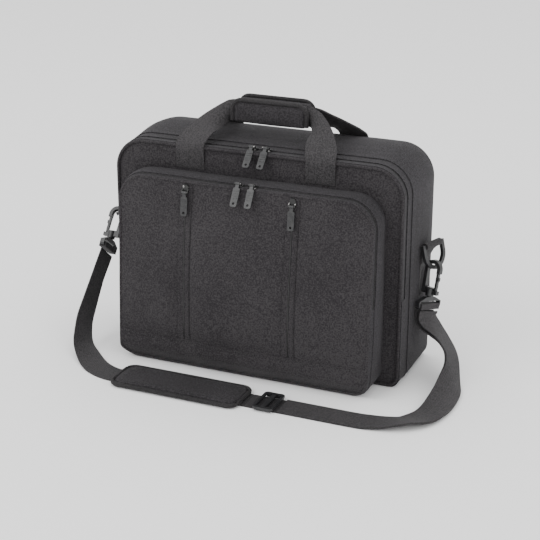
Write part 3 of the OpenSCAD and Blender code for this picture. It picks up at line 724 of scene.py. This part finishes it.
def splinePoint(a, b, c, d, t):
    square, cube = 2 * a - 5 * b + 4 * c - d, 3 * b - a - 3 * c + d
    return 0.5 * (2 * b + (c - a) * t + square * t * t + cube * t ** 3)


# rows are (centre, width direction, width, offset), in metres
def webRun(rows, fine=10):
    rows = [(Vector(c), Vector(w), width, offset) for c, w, width, offset in rows]
    samples = []
    for i in range(len(rows) - 1):
        four = [rows[max(i - 1, 0)], rows[i], rows[i + 1], rows[min(i + 2, len(rows) - 1)]]
        samples += [tuple(splinePoint(*(r[j] for r in four),
                                      k / fine) for j in range(4)) for k in range(fine)]
    samples.append(rows[-1])
    run = [0.0]
    for k in range(1, len(samples)):
        run.append(run[-1] + (samples[k][0] - samples[k - 1][0]).length)
    laid = []
    for k, (centre, across, width, offset) in enumerate(samples):
        ahead = (samples[min(k + 1, len(samples) - 1)][0] - samples[max(k - 1, 0)][0]).normalized()
        across = (across - ahead * across.dot(ahead)).normalized()
        laid.append((centre + ahead.cross(across) * offset, across, ahead.cross(across), width))
    return {"laid": laid, "run": run, "length": run[-1]}


def webPoint(path, distance, share, curl=0.0):
    k = 0
    while k < len(path["run"]) - 2 and path["run"][k + 1] < distance:
        k += 1
    span = path["run"][k + 1] - path["run"][k]
    t = min(1.0, max(0.0, (distance - path["run"][k]) / span)) if span else 0
    (c0, a0, n0, w0), (c1, a1, n1, w1) = path["laid"][k], path["laid"][k + 1]
    centre, width = c0.lerp(c1, t), w0 + (w1 - w0) * t
    across, normal = a0.lerp(a1, t).normalized(), n0.lerp(n1, t).normalized()
    return centre + across * width * share + normal * (curl * (4 * share * share))


def layWeb(name, path, thickness, bend, replaced, curl, cell=0.004):
    length = path["length"]
    web = laySheet(max(3, round(length / cell)), 8,
                   lambda u, v: webPoint(path, length * u, v - 0.5, curl(length * u)), thickness,
                   (length, handle["uvWidth"]), offset=0)
    return finishPiece(web, name, "webbing", bend=bend, replaced=replaced)


# carry handles

handle = {"leg": 0.098, "width": 0.043, "uvWidth": 0.038, "foot": 0.284, "thickness": 0.0022,
          "split": (0.312, 0.328),
          "box": {"half": 0.0175, "low": 0.2865, "high": 0.3110, "out": 0.0032}}


def handleRows(front):
    y0, toBack = (bag["front"], 1) if front else (bag["back"], -1)
    leg, width = handle["leg"], handle["width"]
    half = [((leg, y0 - toBack * 0.0016, handle["foot"]), (1, 0, 0), width, 0),
            ((leg, y0 - toBack * 0.0018, 0.302), (1, 0, 0), width, 0),
            ((leg, y0 - toBack * 0.0013, 0.3185), (1, 0, 0), width, 0),
            ((leg - 0.004, y0 + toBack * 0.009, 0.330), (1, toBack * 0.1, 0), width, 0),
            ((leg - 0.013, y0 + toBack * 0.028, 0.343), (0.9, toBack * 0.3, 0.3), width - 0.006, 0),
            ((leg - 0.025, y0 + toBack * 0.046, 0.353), (0.6, toBack * 0.3, 0.8), width - 0.015, 0),
            ((leg - 0.036, y0 + toBack * 0.055, 0.358), (0.2, toBack * 0.1, 1), width - 0.017, 0),
            ((leg - 0.048, y0 + toBack * 0.056, 0.3585), (0, 0, 1), width - 0.017, 0),
            ((leg - 0.070, y0 + toBack * 0.056, 0.3585), (0, 0, 1), width - 0.017, 0)]
    other = [((-c[0], c[1], c[2]), (-w[0], w[1], w[2]), width, offset) for c, w, width,
             offset in reversed(half)]
    return half + other


for label, isFront in (("front", True), ("rear", False)):
    path = webRun(handleRows(isFront))
    length = path["length"]
    owner = "main_flap" if isFront else "bag"

    def gather(distance, length=length):
        fromEnd = min(distance, length - distance)
        return 0.006 * smoothStep(fromEnd, 0.050, 0.110) * (1 if isFront else -1)

    fold = (owner, label + "_handle", *handle["split"])
    layWeb(label + "HandleStrap", path, handle["thickness"], bend=fold, curl=gather,
           replaced=(label + "_handle_anchors", label + "_handle_webbing"))
    out = -1 if isFront else 1
    for leg, middle in (("Left", -handle["leg"]), ("Right", handle["leg"])):
        y = (bag["front"] if isFront else bag["back"]) + out * handle["box"]["out"]
        x0, x1 = middle - handle["box"]["half"], middle + handle["box"]["half"]
        z0, z1 = handle["box"]["low"], handle["box"]["high"]
        box = [(x0, y, z0), (x1, y, z0), (x1, y, z1), (x0, y, z1), (x0, y, z0), (x1, y, z1)]
        sewRow(label + "Handle" + leg + "BoxStitch", box, body=owner)
        sewRow(label + "Handle" + leg + "CrossStitch", [(x0, y, z1), (x1, y, z0)], body=owner)

grip = {"length": 0.120, "low": 0.338, "height": 0.041, "thickness": 0.0184, "middle": 0.025,
        "parting": 0.0004}


def gripHalf(name, toFront, body, replaced):
    deselectAll()
    bpy.ops.mesh.primitive_cube_add(size=1)
    pad = bpy.context.object
    depth = grip["thickness"] - 0.0020
    pad.data.transform(Matrix.Diagonal((grip["length"] - 0.004, depth, grip["height"] - 0.003, 1)))
    bpy.ops.object.mode_set(mode="EDIT")
    bpy.ops.mesh.select_all(action="DESELECT")
    bpy.ops.object.mode_set(mode="OBJECT")
    for edge in pad.data.edges:  # the long outer edges and the upright outer edges are rolled
        a, b = (pad.data.vertices[k].co for k in edge.vertices)
        edge.select = a.y < 0 and b.y < 0
    bpy.ops.object.mode_set(mode="EDIT")
    bpy.ops.mesh.bevel(offset=0.0100, segments=6, affect="EDGES")
    bpy.ops.object.mode_set(mode="OBJECT")
    for vertex in pad.data.vertices:  # rounded corners, and a belly towards the front
        x, z = abs(vertex.co.x), abs(vertex.co.z)
        halfX, halfZ, r = grip["length"] / 2 - 0.002, grip["height"] / 2 - 0.0015, 0.013
        if x > halfX - r and z > halfZ - r:
            away = Vector((x - halfX + r, z - halfZ + r))
            if away.length > r:
                away *= r / away.length
                vertex.co.x = math.copysign(halfX - r + away.x, vertex.co.x)
                vertex.co.z = math.copysign(halfZ - r + away.y, vertex.co.z)
    pad.data.transform(Matrix.Translation((0,
                                           grip["middle"] - grip["parting"] - grip["thickness"] / 2 + 0.0008,
                                           grip["low"] + grip["height"] / 2)))
    if not toFront:
        pad.data.transform(Matrix.Translation((0, 2 * grip["middle"], 0)) @ Matrix.Diagonal((1, -1, 1, 1)))
        bpy.ops.object.mode_set(mode="EDIT")
        bpy.ops.mesh.select_all(action="SELECT")
        bpy.ops.mesh.normals_make_consistent(inside=False)
        bpy.ops.object.mode_set(mode="OBJECT")
    fillPad(pad, 0.0022, 0.0025)
    finishPiece(pad, name, "grip_fabric", body=body, replaced=replaced)
    return pad


def gripBinding(name, toFront, body):
    points = []
    halfX, r = grip["length"] / 2 - 0.0035, 0.015
    high, low = grip["low"] + grip["height"] - 0.0030, grip["low"] + 0.008
    path = [(-halfX, low), (-halfX, high - r)]
    path += [(-halfX + r - r * math.cos(math.radians(k * 15)),
              high - r + r * math.sin(math.radians(k * 15))) for k in range(1, 6)]
    path += [(-halfX + r, high)] + [(-halfX + r + (2 * halfX - 2 * r) * k / 18,
                                     high) for k in range(1, 18)] + [(halfX - r, high)]
    path += [(halfX - r + r * math.sin(math.radians(k * 15)),
              high - r + r * math.cos(math.radians(k * 15))) for k in range(1, 6)]
    path += [(halfX, high - r), (halfX, low)]
    for x, z in path:
        y = grip["middle"] - grip["thickness"] + 0.0042
        points.append(Vector((x, y if toFront else 2 * grip["middle"] - y, z)))
    binding = layTube(points, 0.0032, sides=10)
    return finishPiece(binding, name, "binding", body=body)


gripHalf("gripFront", True, "front_handle", ("front_grip",))
gripHalf("gripRear", False, "rear_handle", ("rear_grip",))
gripBinding("gripFrontBinding", True, "front_handle")
gripBinding("gripRearBinding", False, "rear_handle")
print("handles sewn")

# shoulder strap

strap = {"width": 0.038, "thickness": 0.0015, "lay": 0.00085, "run": -0.158}
lay, run, wide = strap["lay"], strap["run"], strap["width"]
leftRows = [((-0.25825, -0.0106, 0.1240), (0, 0.788, -0.616), wide, 0),
            ((-0.2588, -0.0172, 0.1156), (0, 0.788, -0.616), wide, 0),
            ((-0.2635, -0.033, 0.088), (0, 0.8, -0.6), wide, 0),
            ((-0.267, -0.050, 0.058), (0.1, 0.82, -0.55), wide, 0),
            ((-0.264, -0.074, 0.034), (0.15, 0.88, -0.45), wide, 0),
            ((-0.252, -0.098, 0.014), (0.2, 0.93, -0.3), wide, 0),
            ((-0.228, -0.124, 0.004), (0.4, 0.9, -0.1), wide, 0),
            ((-0.202, -0.146, lay + 0.0004), (0.4, 0.9, 0), wide, 0),
            ((-0.174, -0.1575, lay), (0.15, 1, 0), wide, 0),
            ((-0.150, run, lay), (0, 1, 0), wide, 0), ((-0.060, run, lay), (0, 1, 0), wide, 0),
            ((0.0, run, lay), (0, 1, 0), wide, 0), ((0.042, run, lay), (0, 1, 0), wide, 0)]


def rightRows(gap, spread, tail):
    rows = [((0.2364, 0.0221, 0.0971), (0.415, 0.886, -0.207), wide, spread),
            ((0.2358, 0.0205, 0.090), (0.42, 0.88, -0.02), wide, spread),
            ((0.2386, 0.0202, 0.0825), (0.35, 0.93, -0.05), wide, spread),
            ((0.249, 0.022, 0.071), (0.2, 0.95, -0.15), wide, gap + (spread - gap) * 0.6),
            ((0.2625, 0.022, 0.056), (0.15, 0.94, -0.28), wide, gap),
            ((0.275, 0.017, 0.038), (0.22, 0.88, -0.42), wide, gap),
            ((0.283, -0.004, 0.020), (0.42, 0.62, -0.66), wide, gap),
            ((0.288, -0.036, 0.0115), (0.75, 0.25, -0.45), wide, gap),
            ((0.288, -0.072, 0.0065), (0.93, 0, -0.2), wide, gap),
            ((0.2845, -0.100, 0.0042), (0.9, -0.4, 0), wide, gap),
            ((0.277, -0.123, 0.0044), (0.7, -0.7, 0.08), wide, gap),
            ((0.260, -0.143, 0.006), (0.35, -0.88, 0.22), wide, gap),
            ((0.236, -0.153, 0.0035), (0.15, -0.97, 0.1), wide, gap),
            ((0.212, -0.157, 0.0013), (0.05, -1, 0), wide, gap),
            ((0.190, run, lay), (0, -1, 0), wide, gap), ((0.140, run, lay), (0, -1, 0), wide, gap)]
    return rows + tail


layerGap = strap["thickness"] + 0.0003
strapRuns = {
    "strapLeft": (webRun(leftRows), "left", "strap_left_run"),
    "strapLower": (webRun(rightRows(0, -0.0034, [((0.090, run, lay), (0, -1, 0), wide, 0),
                                                 ((0.0425, run, lay), (0, -1, 0), wide, 0)])), "right",
                   "strap_lower_layer"),
    "strapUpper": (webRun(rightRows(layerGap, 0.0034, [((0.092, run, lay), (0, -1, 0), wide, layerGap)])),
                   "right",
                   "strap_upper_layer")}
strapSplits = {"swivel": 0.016, "hook": 0.034}
for name, (path, side, node) in strapRuns.items():
    a, b = strapSplits["swivel"], strapSplits["hook"]
    top, first, second = (webPoint(path, d, 0) for d in (0.0, a, b))
    low = webPoint(path, 0.10, 0)
    pieces = [(name + "Top", 0.0, a, ("hook_" + side, "swivel_" + side), first, top),
              (name + "Rise", a, b, ("ring_" + side, "hook_" + side), second, first),
              (name + "Run", b, path["length"], ("bag", "ring_" + side), low, second)]
    for pieceName, start, end, pair, bendStart, bendEnd in pieces:
        cols = max(4, round((end - start) / 0.004))
        web = laySheet(cols, 8, lambda u, v: webPoint(path, start + (end - start) * u, v - 0.5),
                       strap["thickness"],
                       (end - start, wide), offset=0)
        web.name = web.data.name = pieceName
        web.data.materials.append(finishes["webbing"])
        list(pair)
        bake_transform(web)
        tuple(bendStart)
        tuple(bendEnd)
        if pieceName.endswith("Run"):
            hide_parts(node)


padShape = {"centre": (-0.061, -0.160), "length": 0.194, "width": 0.064, "thickness": 0.009, "corner": 0.014}


def shoulderPad():
    deselectAll()
    bpy.ops.mesh.primitive_grid_add(x_subdivisions=56, y_subdivisions=18, size=2)
    pad = bpy.context.object
    length, width, r = padShape["length"] - 0.004, padShape["width"] - 0.004, padShape["corner"]
    for vertex in pad.data.vertices:
        x = vertex.co.x * length / 2
        end = length / 2 - abs(x)
        half = width / 2 - (r - math.sqrt(max(0, r * r - (r - end) ** 2)) if end < r else 0)
        vertex.co = (x, vertex.co.y * half, 0.0019)
    applyModifier(pad, "SOLIDIFY", thickness=padShape["thickness"] - 0.0038, offset=1)
    pad.data.transform(Matrix.Translation((*padShape["centre"], 0.0)))
    fillPad(pad, 0.0024, 0.0022)
    finishPiece(pad, "shoulderPad", "pad_fabric", body="shoulder_pad",
                replaced=("shoulder_pad",))


def padEdge():
    rim = rimPath(padShape["length"] - 0.001, -padShape["width"] / 2 + 0.0005, padShape["width"] / 2 - 0.0005,
                  padShape["corner"], padShape["corner"], "all", 0)
    count = round(rim["length"] / 0.004)
    points = [Vector((padShape["centre"][0] + p.x, padShape["centre"][1] + p.y, 0.0044))
              for p, n in (alongRim(rim, k / count) for k in range(count))]
    edge = layTube(points, 0.0030, closed=True, sides=10)
    return finishPiece(edge, "shoulderPadBinding", "binding", body="shoulder_pad")


shoulderPad()
padEdge()
print("strap laid")

# side tabs, divider and fittings

tab = {"low": 0.112, "width": 0.034, "y": 0.041, "bar": (0.235, 0.190), "loop": 0.0042, "thickness": 0.0019,
       "wall": 0.2222, "stitchHalf": 0.013, "stitchLow": 0.116, "stitchHigh": 0.140}


def sideTab(name, side, turn, node):
    barX, barZ = tab["bar"]
    wall = tab["wall"]
    line = [(wall, tab["low"]), (wall, 0.130), (wall + 0.0003, 0.150), (wall + 0.0012, 0.166),
            (wall + 0.0045, 0.179)]
    line += [(barX + tab["loop"] * math.cos(math.radians(k)), barZ + tab["loop"] * math.sin(math.radians(k)))
             for k in range(190, -150, -24)]
    line += [(wall + 0.0050, 0.1775), (wall + 0.0034, 0.168), (wall + 0.0030, 0.1645)]
    run = [0.0]
    for k in range(1, len(line)):
        run.append(run[-1] + math.dist(line[k], line[k - 1]))

    def place(u, v):
        want = u * run[-1]
        k = 0
        while k < len(run) - 2 and run[k + 1] < want:
            k += 1
        t = (want - run[k]) / (run[k + 1] - run[k])
        x = line[k][0] + (line[k + 1][0] - line[k][0]) * t
        z = line[k][1] + (line[k + 1][1] - line[k][1]) * t
        y = (v - 0.5) * tab["width"]
        twist = math.radians(-turn) * smoothStep(x, wall + 0.002, barX - 0.006)
        px, py = x - barX, y
        x, y = barX + px * math.cos(twist) - py * math.sin(twist), px * math.sin(twist) + py * math.cos(twist)
        return Vector((side * x, tab["y"] + y, z))

    web = laySheet(56, 8, place, tab["thickness"], (run[-1], tab["width"]), offset=0)
    finishPiece(web, name, "webbing", body="bag", replaced=(node,))
    x = side * (wall + 0.0016)
    y0, y1 = tab["y"] - tab["stitchHalf"], tab["y"] + tab["stitchHalf"]
    z0, z1 = tab["stitchLow"], tab["stitchHigh"]
    sewRow(name + "Stitch", [(x, y0, z0), (x, y1, z0), (x, y1, z1), (x, y0, z1), (x, y0, z0), (x, y1, z1)],
           body="bag")


sideTab("tabRight", 1, 20, "side_tab_right")
sideTab("tabLeft", -1, 0, "side_tab_left")


sleeve = {"width": 0.400, "low": 0.006, "height": 0.244, "cornerLow": 0.004, "top": 0.250, "upperR": 0.020,
          "lowerR": 0.004, "trim": 0.0004, "y": 0.0528, "quilt": 0.0009, "thickness": 0.0044}
sleeveStrap = {"width": 0.038, "length": 0.08, "thickness": 0.0018}


def laptopSleeve():
    def place(u, v):
        z = sleeve["low"] + sleeve["height"] * v
        half = halfWidthAt(min(z, sleeve["top"] - sleeve["trim"]), sleeve["width"], sleeve["cornerLow"],
                           sleeve["top"],
                           sleeve["upperR"], sleeve["lowerR"]) - sleeve["trim"]
        x = (2 * u - 1) * half
        quilt = sleeve["quilt"] * abs(math.sin(math.pi * u * 6)) * abs(math.sin(math.pi * v * 4))
        return Vector((x, sleeve["y"] - quilt, z))

    sheet = laySheet(48, 30, place, sleeve["thickness"], (sleeve["width"], sleeve["height"]))
    finishPiece(sheet, "laptopSleeve", "lining", body="bag", replaced=("laptop_divider",))

    def strapPlace(u, v):
        line = [(0.0512, 0.205), (0.0508, 0.240), (0.0520, 0.2505), (0.0540, 0.2520), (0.0740, 0.2520),
                (0.0792, 0.2520)]
        k = min(len(line) - 2, int(u * (len(line) - 1)))
        t = u * (len(line) - 1) - k
        y = line[k][0] + (line[k + 1][0] - line[k][0]) * t
        return Vector(((v - 0.5) * sleeveStrap["width"], y, line[k][1] + (line[k + 1][1] - line[k][1]) * t))

    web = laySheet(30, 8, strapPlace, sleeveStrap["thickness"],
                   (sleeveStrap["length"], sleeveStrap["width"]), offset=0)
    finishPiece(web, "sleeveStrap", "webbing", body="bag", replaced=("divider_strap",))


laptopSleeve()

slotOf = {part["node"]: part["material_slot"] for part in frame["record"]["subparts"]}
for nodeName, node in frame["nodes"].items():
    node.data.materials.clear()
    node.data.materials.append(finishes[slotOf[nodeName]])
print("fittings finished")
